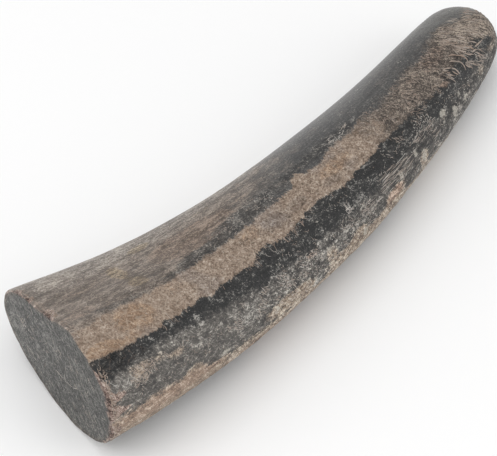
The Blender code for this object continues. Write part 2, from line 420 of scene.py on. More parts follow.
# The skin's columns round the horn, and its rows from the middle of the sawn face to the end of the tip
COLUMNS = 224
FACE_RINGS = (0.0, 0.04, *[0.08 + 0.032 * index for index in range(27)], 0.935, 0.955, 0.97, 0.985)
RIM_TURNS = (0.0, 0.2, 0.4, 0.6, 0.8, 1.0)
BODY_FROM = 0.0011
BODY_ROWS = 334
TIP_ROWS = 24
ROWS = [("face", share) for share in FACE_RINGS]
ROWS += [("rim", turn) for turn in RIM_TURNS]
ROWS += [("side", BODY_FROM + (TIP_FROM - BODY_FROM) * index / BODY_ROWS) for index in range(BODY_ROWS + 1)]
ROWS += [("side", TIP_FROM + (LENGTH - TIP_FROM) * (index + 1) / TIP_ROWS) for index in range(TIP_ROWS)]
ZONE_NAMES = ("stripe", "band", "side", "brown", "polish", *PATCHES, "fray")
SEAM_GAP = 0.000002  # points of the seam and the poles that are closer than this are one point
MAP_FACE_SHARE = 0.24  # of the bake map's height, kept for the sawn face
MAP_FACE_CORNER = (0.002, 0.001)  # metres by which the sawn face stands clear of the map's edges
MAP_MARGIN = 0.004
MAP_TOP = 0.995


def face_map(corner):
    """Where a corner of the sawn face lies on the bake map."""
    y = corner.y - HORN_LOW[1] + MAP_FACE_CORNER[0]
    return y / LENGTH, (corner.z + MAP_FACE_CORNER[1]) / LENGTH


def side_map(row, round_share):
    """Where a corner of the side, unrolled, lies on the bake map: its length across, over the sawn face."""
    kind, place = ROWS[row]
    along = place if kind == "side" else RIM_END * place
    upwards = MAP_FACE_SHARE + (MAP_TOP - MAP_FACE_SHARE) * round_share
    return MAP_MARGIN + (1.0 - 2.0 * MAP_MARGIN) * along / LENGTH, upwards


def finished(shape, name):
    """Turns a shape's faces outwards, smooths them, and gives its mesh."""
    bmesh.ops.recalc_face_normals(shape, faces=shape.faces)
    for face in shape.faces:
        face.smooth = True
    mesh = bpy.data.meshes.new(name)
    shape.to_mesh(mesh)
    shape.free()
    return mesh


def horn_skin():
    """A grid rolled round the horn: rings of the sawn face, then the worn edge, the sides and the tip."""
    skin = bmesh.new()
    map_layer = skin.loops.layers.uv.new("OFBake")
    growth_layer = skin.verts.layers.float_vector.new("growth")
    zone_layers = [skin.verts.layers.float.new(name) for name in ZONE_NAMES]
    bmesh.ops.create_grid(skin, x_segments=len(ROWS) - 1, y_segments=COLUMNS, size=0.5, calc_uvs=True)
    edges = {}
    for vert in skin.verts:
        kind, place = ROWS[round((vert.co.x + 0.5) * (len(ROWS) - 1))]
        column = round((vert.co.y + 0.5) * COLUMNS) % COLUMNS
        clock = 180.0 - 360.0 * column / COLUMNS
        along = place
        if kind == "side":
            vert.co = kept_inside(on_horn(place, clock)[0])
        elif kind == "rim":
            vert.co = kept_inside(rim_point(clock, place))
            along = RIM_END * place
        else:
            if column not in edges:
                edges[column] = rim_point(clock, 0.0)
            edge = edges[column]
            vert.co = CUT_MIDDLE.lerp(edge, place)
            vert.co.x = HORN_LOW[0] + sawn_depth(vert.co.y, vert.co.z) * step(place, 1.0, 0.9)
            along = (place - 1.0) * (edge - CUT_MIDDLE).length
        if kind == "face":
            vert[growth_layer] = Vector((along, *saw_place(vert.co.y, vert.co.z)))
        else:
            vert[growth_layer] = growth(along, clock)
        beside = max(along, 0.0)
        patches = [patch_weight(name, beside, clock) for name in PATCHES]
        for layer, value in zip(zone_layers, (*zones(beside, clock), *patches, frayed(along, clock))):
            vert[layer] = value
    for face in skin.faces:
        rows = [round(loop[map_layer].uv.x * (len(ROWS) - 1)) for loop in face.loops]
        sawn = max(rows) <= len(FACE_RINGS)
        face.material_index = 1 if sawn else 0
        for loop, row in zip(face.loops, rows):
            place = loop[map_layer]
            place.uv = face_map(loop.vert.co) if sawn else side_map(row, place.uv.y)
    bmesh.ops.remove_doubles(skin, verts=skin.verts, dist=SEAM_GAP)
    return finished(skin, "horn_skin")


horn_skin_mesh = horn_skin()
horn_piece = placed("horn_skin", horn_skin_mesh)


def srgb(red, green, blue):
    """A colour given as it looks on a screen, from 0 to 255, as Blender's linear values."""
    parts = [value / 255.0 for value in (red, green, blue)]
    return (*[part / 12.92 if part <= 0.04045 else ((part + 0.055) / 1.055) ** 2.4 for part in parts], 1.0)


def put(kind, inputs, output=0, tree=None, **settings):
    """Adds a node, sets its inputs to values or joins them to other nodes' outputs, and gives an output.
    It goes into the tree of the outputs that it is joined to, or else into the one that is given."""
    if tree is None:
        tree = next(value.id_data for value in inputs.values() if isinstance(value, bpy.types.NodeSocket))
    node = tree.nodes.new(kind)
    for name, value in settings.items():
        setattr(node, name, value)
    for name, value in inputs.items():
        if isinstance(value, bpy.types.NodeSocket):
            tree.links.new(value, node.inputs[name])
        else:
            node.inputs[name].default_value = value
    return node.outputs[output]


def maths(operation, first, second=0.0, clamp=False):
    return put("ShaderNodeMath", {0: first, 1: second}, operation=operation, use_clamp=clamp)


def times(first, *others):
    """The product of values."""
    for other in others:
        first = maths("MULTIPLY", first, other)
    return first


def rest(value):
    """What is left of 1."""
    return maths("SUBTRACT", 1.0, value, clamp=True)


def between(value, low, high, start=0.0, end=1.0):
    """The start value at low, the end value at high, smooth between."""
    inputs = {"Value": value, "From Min": low, "From Max": high, "To Min": start, "To Max": end}
    return put("ShaderNodeMapRange", inputs, interpolation_type="SMOOTHSTEP")


def mix_value(share, first, second):
    return put("ShaderNodeMix", {0: share, 2: first, 3: second}, data_type="FLOAT")


def blend(share, under, over):
    """One colour laid over another by a share."""
    return put("ShaderNodeMix", {0: share, 6: under, 7: over}, output=2, data_type="RGBA")


def tinted(share, colour, tint):
    """A colour multiplied by a tint by a share, which keeps its grain."""
    inputs = {0: share, 6: colour, 7: (*tint, 1.0)}
    return put("ShaderNodeMix", inputs, output=2, data_type="RGBA", blend_type="MULTIPLY")


def shades(value, *stops):
    """Colours along a value, each stop a place from 0 to 1 and a colour."""
    output = put("ShaderNodeValToRGB", {0: value})
    ramp = output.node.color_ramp
    for index, (place, colour) in enumerate(stops):
        element = ramp.elements[index] if index < 2 else ramp.elements.new(place)
        element.position = place
        element.color = srgb(*colour)
    return output


def weigh(*pairs):
    """The sum of values, each times its weight."""
    total = 0.0
    for value, weight in pairs:
        total = maths("ADD", times(value, weight), total)
    return total


def stir(*pairs):
    """Several grains in one about a half, each with its own strength."""
    strengths = sum(strength for grain, strength in pairs)
    return maths("ADD", weigh(*pairs), 0.5 - 0.5 * strengths)


def harder(value, gain):
    """A value about a half, with its contrast raised."""
    return maths("ADD", times(maths("SUBTRACT", value, 0.5), gain), 0.5)


def grained(grains, gain, stops, shifts=()):
    """Colours along several grains in one, with their contrast raised and other values added to them."""
    value = harder(stir(*grains), gain)
    return shades(weigh((value, 1.0), *shifts), *stops)


def broken_up(share, grain, strength, low=0.35, high=0.65):
    """A share whose edge is broken up by a grain."""
    broken = weigh((share, 1.0), (grain, strength))
    return between(broken, low + strength / 2, high + strength / 2)


def attribute(tree, name, output="Fac"):
    return put("ShaderNodeAttribute", {}, output, tree, attribute_name=name)


def new_group(name, sizes, output):
    """A shader node group, still empty, that takes a vector and some sizes and gives one value."""
    group = bpy.data.node_groups.new(name, "ShaderNodeTree")
    group.interface.new_socket("Vector", in_out="INPUT", socket_type="NodeSocketVector")
    for size in sizes:
        group.interface.new_socket(size, in_out="INPUT", socket_type="NodeSocketFloat")
    group.interface.new_socket(output, in_out="OUTPUT", socket_type="NodeSocketFloat")
    return group, group.nodes.new("NodeGroupInput").outputs, group.nodes.new("NodeGroupOutput").inputs[0]


def stretched(vector, length, width):
    """A vector in units of a length along the growth and a width across it."""
    by_length = maths("DIVIDE", 1.0, length)
    by_width = maths("DIVIDE", 1.0, width)
    scale = put("ShaderNodeCombineXYZ", {0: by_length, 1: by_width, 2: by_width})
    return put("ShaderNodeVectorMath", {0: vector, 1: scale}, operation="MULTIPLY")


def grain_group():
    """Fibres of a given length and width about a half. Evenness is how much of them is as fine as can be, and
    lean how far they wind round the horn, in radians a metre."""
    group, given, result = new_group("fibre grain", ("Length", "Width", "Evenness", "Lean"), "Grain")
    along = put("ShaderNodeSeparateXYZ", {0: given["Vector"]})
    turn = times(along, given["Lean"])
    wound = put("ShaderNodeVectorRotate", {"Vector": given["Vector"], "Angle": turn}, rotation_type="X_AXIS")
    vector = stretched(wound, given["Length"], given["Width"])
    look = {"Vector": vector, "Scale": 1.0, "Detail": 4.0, "Roughness": given["Evenness"]}
    group.links.new(put("ShaderNodeTexNoise", look), result)
    return group


def leaning(degrees):
    """The lean of fibres that cross the horn's length at an angle, towards the outside if it is above 0."""
    return math.tan(math.radians(degrees)) / GROWTH_RADIUS


def use(group, **inputs):
    """Places a node group; the spaces in an input's name are written as underscores."""
    named = {name.replace("_", " "): value for name, value in inputs.items()}
    return put("ShaderNodeGroup", named, node_tree=group)


GRAIN = grain_group()


def grain(vector, length, width, evenness=0.95, lean=0.0):
    """A fibre grain that crosses the horn's length at an angle."""
    return use(GRAIN, Vector=vector, Length=length, Width=width, Evenness=evenness, Lean=leaning(lean))


def hairs_group():
    """Short fine hairs that cross one another on three headings."""
    group, given, result = new_group("crossed hairs", ("Length", "Width"), "Hairs")
    found = 0.0
    for heading in (-42.0, 8.0, 55.0):
        hair = grain(given["Vector"], given["Length"], given["Width"], 0.25, heading)
        found = maths("MAXIMUM", hair, found)
    group.links.new(between(found, 0.58, 0.70), result)
    return group


def ragged_group():
    """A zone's mask from the depth inside its edge, the edge torn into teeth of a given size."""
    group, given, result = new_group(
        "torn edge", ("Depth", "Reach", "Tooth length", "Tooth width", "Softness"), "Mask"
    )
    vector = stretched(given["Vector"], given["Tooth length"], given["Tooth width"])
    teeth = put("ShaderNodeTexNoise", {"Vector": vector, "Scale": 1.0, "Detail": 3.0, "Roughness": 0.8})
    teeth = times(maths("SUBTRACT", teeth, 0.5), 5.0)
    depth = maths("ADD", given["Depth"], times(teeth, given["Reach"]))
    low = times(given["Softness"], -1.0)
    group.links.new(between(depth, low, given["Softness"]), result)
    return group


def specks_group():
    """Small round specks, a share of the cells of a pattern."""
    group, given, result = new_group("specks", ("Spacing", "Size", "Share"), "Specks")
    vector = stretched(given["Vector"], given["Spacing"], given["Spacing"])
    cells = put("ShaderNodeTexVoronoi", {"Vector": vector, "Scale": 1.0}).node
    chosen = put("ShaderNodeSeparateColor", {0: cells.outputs["Color"]})
    chosen = between(chosen, given["Share"], maths("SUBTRACT", given["Share"], 0.06))
    spot = between(cells.outputs["Distance"], given["Size"], times(given["Size"], 0.5))
    group.links.new(times(spot, chosen), result)
    return group


HAIRS = hairs_group()
RAGGED = ragged_group()
SPECKS = specks_group()
SPECULAR = 0.42
SURFACE_MIDDLE = 0.0004  # the height about which the side's fine relief swings, and that polishing rubs it to


def keratin(name):
    """A new material with horn's gloss, the tree of its nodes, and its shader's inputs."""
    material = bpy.data.materials.new(name)
    material.use_nodes = True
    inputs = material.node_tree.nodes["Principled BSDF"].inputs
    inputs["Specular IOR Level"].default_value = SPECULAR
    return material, material.node_tree, inputs


def finish(tree, inputs, colour, height):
    """Joins a colour and the height of a fine relief to a material's shader."""
    bump = put("ShaderNodeBump", {"Height": height, "Strength": 1.0, "Distance": 1.0})
    tree.links.new(colour, inputs["Base Color"])
    tree.links.new(bump, inputs["Normal"])


def side_material():
    """The horn's outside: brown rasped skin, polished grey flank, tan stripe, black band and scuffed side."""
    material, tree, inputs = keratin("horn_outside")
    grown = attribute(tree, "growth", "Vector")
    place = put("ShaderNodeTexCoord", {}, "Object", tree)
    along, around, upwards = put("ShaderNodeSeparateXYZ", {0: grown}).node.outputs
    weights = [attribute(tree, name) for name in ZONE_NAMES]
    stripe, band, side, brown, polish, tan, pale, dark, warm, cream, fray = weights
    lower_side = between(side, -0.1, 0.1)

    # Grains that several zones share
    streaks = grain(grown, 0.0056, 0.0018)
    long_lines = grain(grown, 0.0120, 0.0009, 0.8)
    rough = grain(grown, 0.0034, 0.0022)
    crumb = grain(place, 0.0018, 0.0018)
    grit = grain(place, 0.0005, 0.0005, 0.8)
    hanging = grain(grown, 0.0024, 0.0014, lean=60.0)
    cloud = grain(place, 0.0110, 0.0110, 0.5)
    cloud_small = grain(place, 0.0050, 0.0050, 0.5)
    hairs = use(HAIRS, Vector=grown, Length=0.0016, Width=0.0005)

    # Fine edges of the layers that end at the tip
    near_tip = between(weigh((along, 1.0), (crumb, 0.02)), 0.158, 0.174)
    swing = LAYER_SLANT / GROWTH_RADIUS
    across_layers = weigh(
        (along, LAYER_CROSSING), (around, -LAYER_CROSSING * swing * math.cos(LAYER_TURN)),
        (upwards, -LAYER_CROSSING * swing * math.sin(LAYER_TURN)), (rough, 0.0016), (cloud_small, 0.0030),
    )
    layers = maths("SINE", times(across_layers, 2.0 * math.pi / LAYER_GAP))
    layers = times(layers, near_tip, between(crumb, 0.40, 0.56))

    # Brown rasped skin, with a painted pale sheen along its crest
    brown_colour = grained(
        ((streaks, 1.2), (grit, 1.0), (cloud, 0.3)), between(along, 0.015, 0.035, 1.1, 1.4),
        ((0.30, (80, 71, 63)), (0.45, (107, 96, 87)), (0.55, (125, 113, 103)), (0.70, (164, 152, 140))),
    )
    brown_colour = tinted(broken_up(warm, streaks, 1.2), brown_colour, (1.02, 0.94, 0.89))
    brown_colour = tinted(broken_up(tan, rough, 2.0), brown_colour, (1.28, 1.22, 1.04))
    # Painted sheen: the brown skin is made paler and bluer towards the crest, where the flank turns away and
    # grazing light brightens it
    painted_crest_sheen = between(side, -0.80, -0.99)
    brown_colour = tinted(painted_crest_sheen, brown_colour, (1.46, 1.55, 1.62))

    # Polished grey flank, with a painted sheen towards its crest
    polish_colour = grained(
        ((long_lines, 0.5), (grit, 1.1), (rough, 0.3)), 1.5,
        ((0.28, (60, 59, 59)), (0.5, (71, 70, 70)), (0.72, (102, 101, 98))),
        ((layers, 0.34), (near_tip, 0.18)),
    )
    # Painted sheen: the flank's colour is made lighter towards the crest, standing in for grazing reflection
    # there
    polish_colour = tinted(between(side, -0.55, -0.84), polish_colour, (1.26, 1.25, 1.23))

    # The upper side's two finishes, and the dark edge where it meets the stripe
    upper = maths("ADD", brown, polish, clamp=True)
    brown_share = maths("DIVIDE", brown, maths("MAXIMUM", upper, 0.01))
    brown_share = between(weigh((brown_share, 1.0), (streaks, 1.4), (cloud_small, 1.0)), 1.2, 2.2)
    upper_colour = blend(brown_share, polish_colour, brown_colour)
    dark_colour = grained(
        ((rough, 1.3), (grit, 1.0)), 1.3,
        ((0.30, (36, 35, 35)), (0.50, (57, 56, 54)), (0.62, (84, 81, 78)), (0.80, (160, 156, 149))),
        ((pale, 0.1),),
    )
    dark_share = broken_up(dark, stir((crumb, 0.8), (long_lines, 0.8)), 1.8, 0.25, 0.85)
    upper_colour = blend(times(dark_share, 0.8), upper_colour, dark_colour)

    # Scuffed grey side, finer near the cut and rougher from the middle on
    lined = times(between(along, 0.082, 0.098), between(along, 0.134, 0.120))
    scuff_grain = mix_value(times(lined, 0.6), rough, long_lines)
    scuff_colour = grained(
        ((scuff_grain, 1.0), (crumb, 0.6), (grit, 0.5), (hanging, 0.3)),
        between(along, 0.032, 0.062, 0.95, 1.8),
        (
            (0.22, (46, 45, 44)), (0.43, (79, 76, 73)), (0.57, (102, 98, 93)), (0.70, (150, 145, 138)),
            (0.86, (216, 212, 204)),
        ),
        (
            (pale, 0.12), (dark, -0.16), (hairs, 0.13), (cloud_small, 0.2),
            (between(along, 0.030, 0.060, 0.088, 0.155), -1.0),
        ),
    )
    tan_colour = grained(
        ((rough, 1.0), (grit, 0.8), (hanging, 0.6), (crumb, 0.4)), between(along, 0.025, 0.050, 1.1, 1.9),
        ((0.22, (90, 76, 66)), (0.42, (140, 122, 105)), (0.56, (170, 151, 132)), (0.76, (228, 217, 200))),
    )
    tan_colour = tinted(warm, tan_colour, (1.0, 0.82, 0.78))
    tan_mask = broken_up(tan, stir((rough, 1.0), (grit, 0.6)), 2.2, 0.25, 0.80)
    scuff_colour = blend(times(tan_mask, 0.9), scuff_colour, tan_colour)
    upper_mask = between(weigh((upper, 1.0), (crumb, 1.2)), 0.95, 1.25)
    colour = blend(upper_mask, scuff_colour, upper_colour)

    # Black band under the stripe
    band_mask = use(
        RAGGED, Vector=place, Depth=band, Reach=0.0012, Tooth_length=0.0022, Tooth_width=0.0022,
        Softness=0.0013,
    )
    band_colour = grained(
        ((rough, 1.3), (crumb, 0.5), (grit, 1.1)), between(along, 0.020, 0.060, 1.45, 1.3),
        ((0.26, (28, 28, 28)), (0.54, (41, 41, 41)), (0.68, (66, 65, 63)), (0.84, (158, 155, 149))),
        ((pale, 0.2),),
    )
    colour = blend(band_mask, colour, band_colour)

    # The broken hollow by the cut: bare, dark and cracked
    hollow = between(weigh((along, 1.0), (crumb, 0.02)), 0.025, 0.019)
    hollow = times(hollow, band_mask, between(band, 0.0003, 0.0012))
    crack_place = grain(place, 0.0030, 0.0030, 0.6)
    crack = maths("ABSOLUTE", maths("SUBTRACT", crack_place, 0.5))
    hollow_colour = grained(
        ((crumb, 1.0), (grit, 1.0)), 1.3, ((0.30, (18, 18, 18)), (0.54, (29, 29, 29)), (0.76, (72, 69, 65)))
    )
    hollow_colour = blend(between(crack, 0.024, 0.004), hollow_colour, srgb(82, 70, 62))
    colour = blend(times(hollow, 0.85), colour, hollow_colour)

    # Cream flakes, and white specks and hairs of lifted skin
    flake = broken_up(cream, stir((crumb, 1.0), (grit, 0.8)), 2.6, 0.30, 0.85)
    flake_colour = shades(grit, (0.3, (128, 122, 112)), (0.62, (206, 200, 188)))
    colour = blend(times(flake, 0.8), colour, flake_colour)
    specks = use(SPECKS, Vector=place, Spacing=0.0009, Size=0.30, Share=0.20)
    torn_skin = times(rest(times(upper_mask, maths("MAXIMUM", brown_share, 0.5))), rest(hollow))
    speck_cover = between(stir((cloud_small, 1.0), (crumb, 1.0), (pale, 0.4)), 0.42, 0.66)
    specks = times(specks, speck_cover, torn_skin, rest(times(band_mask, 0.35)))
    hair_cover = between(stir((cloud_small, 1.2), (pale, 0.6)), 0.40, 0.75)
    torn_hairs = times(hairs, hair_cover, torn_skin, rest(times(tan_mask, 0.6)))
    lifted = maths("MAXIMUM", times(specks, 0.8), times(torn_hairs, 0.6))
    colour = blend(lifted, colour, srgb(192, 188, 181))

    # Tan stripe, torn at its edges, and combed into the band in one stretch of it
    past_middle = weigh((along, 1.0), (cloud_small, 0.03), (crumb, 0.04))
    mottled = between(past_middle, 0.138, 0.154)
    combed = times(between(along, 0.049, 0.053), between(along, 0.066, 0.062))
    stripe_reach = mix_value(times(combed, lower_side), 0.0005, 0.0012)
    stripe_reach = mix_value(mottled, stripe_reach, mix_value(lower_side, 0.0012, 0.0008))
    stripe_softness = mix_value(lower_side, 0.00032, 0.00018)
    stripe_softness = mix_value(mottled, stripe_softness, mix_value(lower_side, 0.0014, 0.0005))
    stripe_mask = use(
        RAGGED, Vector=grown, Depth=stripe, Reach=stripe_reach, Tooth_length=0.0009,
        Tooth_width=0.0026, Softness=stripe_softness,
    )
    stripe_colour = grained(
        ((crumb, 1.0), (grit, 1.0), (rough, 0.3)), between(along, 0.024, 0.040, 1.0, 1.3),
        ((0.24, (88, 74, 62)), (0.42, (128, 110, 95)), (0.56, (150, 131, 115)), (0.76, (198, 184, 169))),
    )
    stripe_colour = tinted(broken_up(warm, crumb, 1.2), stripe_colour, (1.05, 0.95, 0.84))
    greyed = between(cloud, 0.52, 0.66)
    stripe_colour = tinted(greyed, stripe_colour, (0.86, 0.90, 0.97))
    stripe_colour = tinted(broken_up(dark, cloud_small, 1.0), stripe_colour, (0.80, 0.81, 0.83))
    stripe_colour = blend(times(hairs, 0.32), stripe_colour, srgb(196, 182, 166))

    # The stripe's worn end, mottled brown, with fibres that bend round the tip
    mottled_colour = grained(
        ((hanging, 0.7), (grit, 1.0), (crumb, 0.9)), 1.3,
        ((0.22, (42, 38, 36)), (0.42, (82, 74, 68)), (0.56, (116, 106, 97)), (0.76, (184, 170, 155))),
        (
            (tan, 0.09), (dark, -0.20), (pale, 0.1), (hairs, 0.06), (layers, 0.24),
            (between(along, 0.120, 0.140, 0.022, 0.048), -1.0), (near_tip, 0.07),
        ),
    )
    mottled_colour = tinted(broken_up(warm, hanging, 1.2), mottled_colour, (1.04, 0.94, 0.90))
    stripe_colour = blend(mottled, stripe_colour, mottled_colour)
    colour = blend(stripe_mask, colour, stripe_colour)

    # Torn rim of the saw cut
    fray_mask = broken_up(fray, stir((crumb, 0.9), (rough, 0.9)), 1.8, 0.34, 0.70)
    fray_colour = grained(
        ((grit, 0.8), (crumb, 1.1), (hanging, 0.8)), 1.3,
        ((0.28, (52, 41, 38)), (0.44, (122, 101, 91)), (0.56, (172, 149, 137)), (0.74, (216, 202, 190))),
    )
    rim_crack = times(between(along, 0.0011, 0.0004), between(fray, 0.45, 0.80))
    fray_colour = tinted(times(rim_crack, 0.8), fray_colour, (0.42, 0.38, 0.38))
    colour = blend(fray_mask, colour, fray_colour)

    # Gloss and fine relief
    roughness = mix_value(upper_mask, 0.60, mix_value(brown_share, 0.36, 0.42))
    roughness = mix_value(band_mask, roughness, 0.42)
    roughness = mix_value(hollow, roughness, 0.20)
    roughness = mix_value(stripe_mask, roughness, 0.72)
    tree.links.new(roughness, inputs["Roughness"])
    smooth_flank = times(upper_mask, rest(brown_share), rest(stripe_mask))
    surface = weigh((rough, 0.0004), (grit, 0.0002), (streaks, 0.0002), (hairs, 0.00004))
    surface = maths("SUBTRACT", surface, SURFACE_MIDDLE)
    finish(tree, inputs, colour, times(surface, rest(times(smooth_flank, 0.85))))
    return material


def sawn_material():
    """The sawn face: solid grey keratin with the saw's fine arcs, darker low on the outside, its rim torn."""
    material, tree, inputs = keratin("horn_sawn_face")
    parts = put("ShaderNodeSeparateXYZ", {0: attribute(tree, "growth", "Vector")}).node
    from_rim, along_marks, across_marks = parts.outputs
    flat = put("ShaderNodeCombineXYZ", {0: along_marks, 1: across_marks})
    place = put("ShaderNodeTexCoord", {}, "Object", tree)
    fray = attribute(tree, "fray")
    marks = grain(flat, 0.0036, 0.0014)
    fine_marks = grain(flat, 0.0026, 0.0005, 0.6)
    crumb = grain(place, 0.0018, 0.0018)
    grit = grain(place, 0.0005, 0.0005, 0.8)
    cloud = grain(place, 0.0110, 0.0110, 0.5)
    colour = grained(
        ((marks, 0.6), (fine_marks, 0.7), (crumb, 0.9), (grit, 1.6), (cloud, 0.3)), 1.15,
        ((0.26, (43, 43, 42)), (0.44, (70, 69, 67)), (0.56, (89, 88, 85)), (0.74, (146, 144, 139))),
    )
    outwards = weigh((along_marks, math.cos(SAW_SLOPE)), (across_marks, math.sin(SAW_SLOPE)))
    colour = tinted(between(outwards, -0.012, 0.012), colour, (0.74, 0.74, 0.73))
    colour = tinted(between(from_rim, -0.0016, 0.0), colour, (1.35, 1.20, 1.10))
    torn = broken_up(fray, stir((crumb, 0.9), (marks, 0.9)), 1.8, 0.42, 0.76)
    torn_colour = blend(between(crumb, 0.48, 0.60), srgb(54, 46, 43), srgb(160, 140, 128))
    colour = blend(torn, colour, torn_colour)
    specks = use(SPECKS, Vector=place, Spacing=0.0012, Size=0.28, Share=0.16)
    bright = maths("MAXIMUM", between(fine_marks, 0.60, 0.67), specks)
    colour = blend(times(bright, 0.4), colour, srgb(166, 163, 157))
    inputs["Roughness"].default_value = 0.55
    finish(tree, inputs, colour, weigh((fine_marks, 0.00013), (grit, 0.00007), (marks, 0.00014)))
    return material


horn_skin_mesh.materials.append(side_material())
horn_skin_mesh.materials.append(sawn_material())
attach(horn_piece, "root")
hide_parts("horn")

# The horn's lifted fibres
# Where the skin is torn or scuffed, thin fibres of keratin have lifted from it. They are the same grown
# stuff, split off as slivers a fraction of a millimetre wide that lie pressed to the horn.

FIBRE_SIDES = 4
FIBRE_RINGS = 5
FIBRE_FLATNESS = 0.35  # half a fibre's thickness, as a share of its width
FIBRES_FROM = 0.0009  # the stretch of the horn's side that fibres keep to
FIBRES_TO = 0.178
FIBRES_AT_ONCE = 40  # making a sphere gets slower with each one already in the mesh


def path(length, heading, curl):
    """Steps of a curving path, each as far as it goes and the way it heads, in radians."""
    reached = 0.0
    for ring in range(FIBRE_RINGS + 1):
        share = (1.0 - math.cos(math.pi * ring / FIBRE_RINGS)) / 2
        yield length * (share - reached), math.radians(heading + curl * ((share + reached) / 2 - 0.5))
        reached = share


def over_skin(along, clock, length, heading, curl):
    """Points of a path over the horn's side, and the way out of the horn at each; heading 0 runs along it."""
    points = []
    for reach, turn in path(length, heading, curl):
        along += math.cos(turn) * reach
        clock += math.sin(turn) * reach / girth_step(round(along, 3))
        points.append(on_horn(min(max(along, FIBRES_FROM), FIBRES_TO), clock))
    return points


def over_face(y, z, length, heading, curl):
    """Points of a path over the sawn face, heading 0 running outwards across it and 90 down."""
    points = []
    for reach, turn in path(length, heading, curl):
        y -= math.cos(turn) * reach
        z -= math.sin(turn) * reach
        points.append((Vector((HORN_LOW[0] + sawn_depth(y, z), y, z)), Vector((-1.0, 0.0, 0.0))))
    return points


def lay_fibre(batch, layer, points, width, shade):
    """One fibre: a slender spindle that follows a path over the horn."""
    made = bmesh.ops.create_uvsphere(batch, u_segments=FIBRE_SIDES, v_segments=FIBRE_RINGS, radius=1.0)
    for vert in made["verts"]:
        ring = round(math.acos(min(max(vert.co.z, -1.0), 1.0)) / math.pi * FIBRE_RINGS)
        centre, outwards = points[ring]
        way = points[min(ring + 1, FIBRE_RINGS)][0] - points[max(ring - 1, 0)][0]
        across = way.cross(outwards).normalized()
        sideways = across * (vert.co.x * width / 2)
        vert.co = kept_inside(centre + sideways + outwards * (vert.co.y * width * FIBRE_FLATNESS))
        vert[layer] = shade


def fibre_material():
    """Torn keratin, from dull tan to almost white, by each fibre's own shade."""
    material, tree, inputs = keratin("horn_fibre")
    colour = shades(
        attribute(tree, "shade"),
        (0.0, (92, 80, 72)), (0.35, (154, 135, 121)), (0.7, (176, 165, 155)), (1.0, (208, 204, 197)),
    )
    tree.links.new(colour, inputs["Base Color"])
    inputs["Roughness"].default_value = 0.6
    return material


FIBRE_MATERIAL = fibre_material()


def fibre_piece(name, fibres):
    """Joins a list of fibres, each a path, a width and a shade, into one piece of the horn."""
    batch_mesh = bpy.data.meshes.new("batch")
    whole = bmesh.new()
    for first in range(0, len(fibres), FIBRES_AT_ONCE):
        batch = bmesh.new()
        layer = batch.verts.layers.float.new("shade")
        for fibre in fibres[first:first + FIBRES_AT_ONCE]:
            lay_fibre(batch, layer, *fibre)
        batch.to_mesh(batch_mesh)
        batch.free()
        whole.from_mesh(batch_mesh)
    bpy.data.meshes.remove(batch_mesh)
    piece = placed(name, finished(whole, name))
    piece.data.materials.append(FIBRE_MATERIAL)
    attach(piece, "root")


# The fringe that hangs from the stripe's lower edge, thickest in the middle of the stripe.
FRINGE_HEADING = 66.0  # down and a little towards the tip
# Each stretch: where it starts and ends, the gap between fibres, and their length.
FRINGE = (
    (0.002, 0.014, 0.0018, 0.0005), (0.014, 0.030, 0.0008, 0.0011), (0.030, 0.050, 0.0011, 0.0007),
    (0.050, 0.073, 0.0005, 0.0014), (0.073, 0.112, 0.0009, 0.0008),
)
picks = random.Random(11)
fringe = []
for start, end, gap, length in FRINGE:
    along = start
    while along < end:
        clock = lines_at(along)[1] + picks.uniform(-0.0011, 0.0003) / girth_step(round(along, 3))
        reach = length * picks.triangular(0.3, 1.9, 0.8)
        points = over_skin(along, clock, reach, picks.gauss(FRINGE_HEADING, 30.0), picks.gauss(0.0, 30.0))
        fringe.append((points, picks.uniform(0.00010, 0.00018), picks.uniform(0.1, 0.6)))
        along += gap * picks.expovariate(1.0)
fibre_piece("stripe_fringe", fringe)

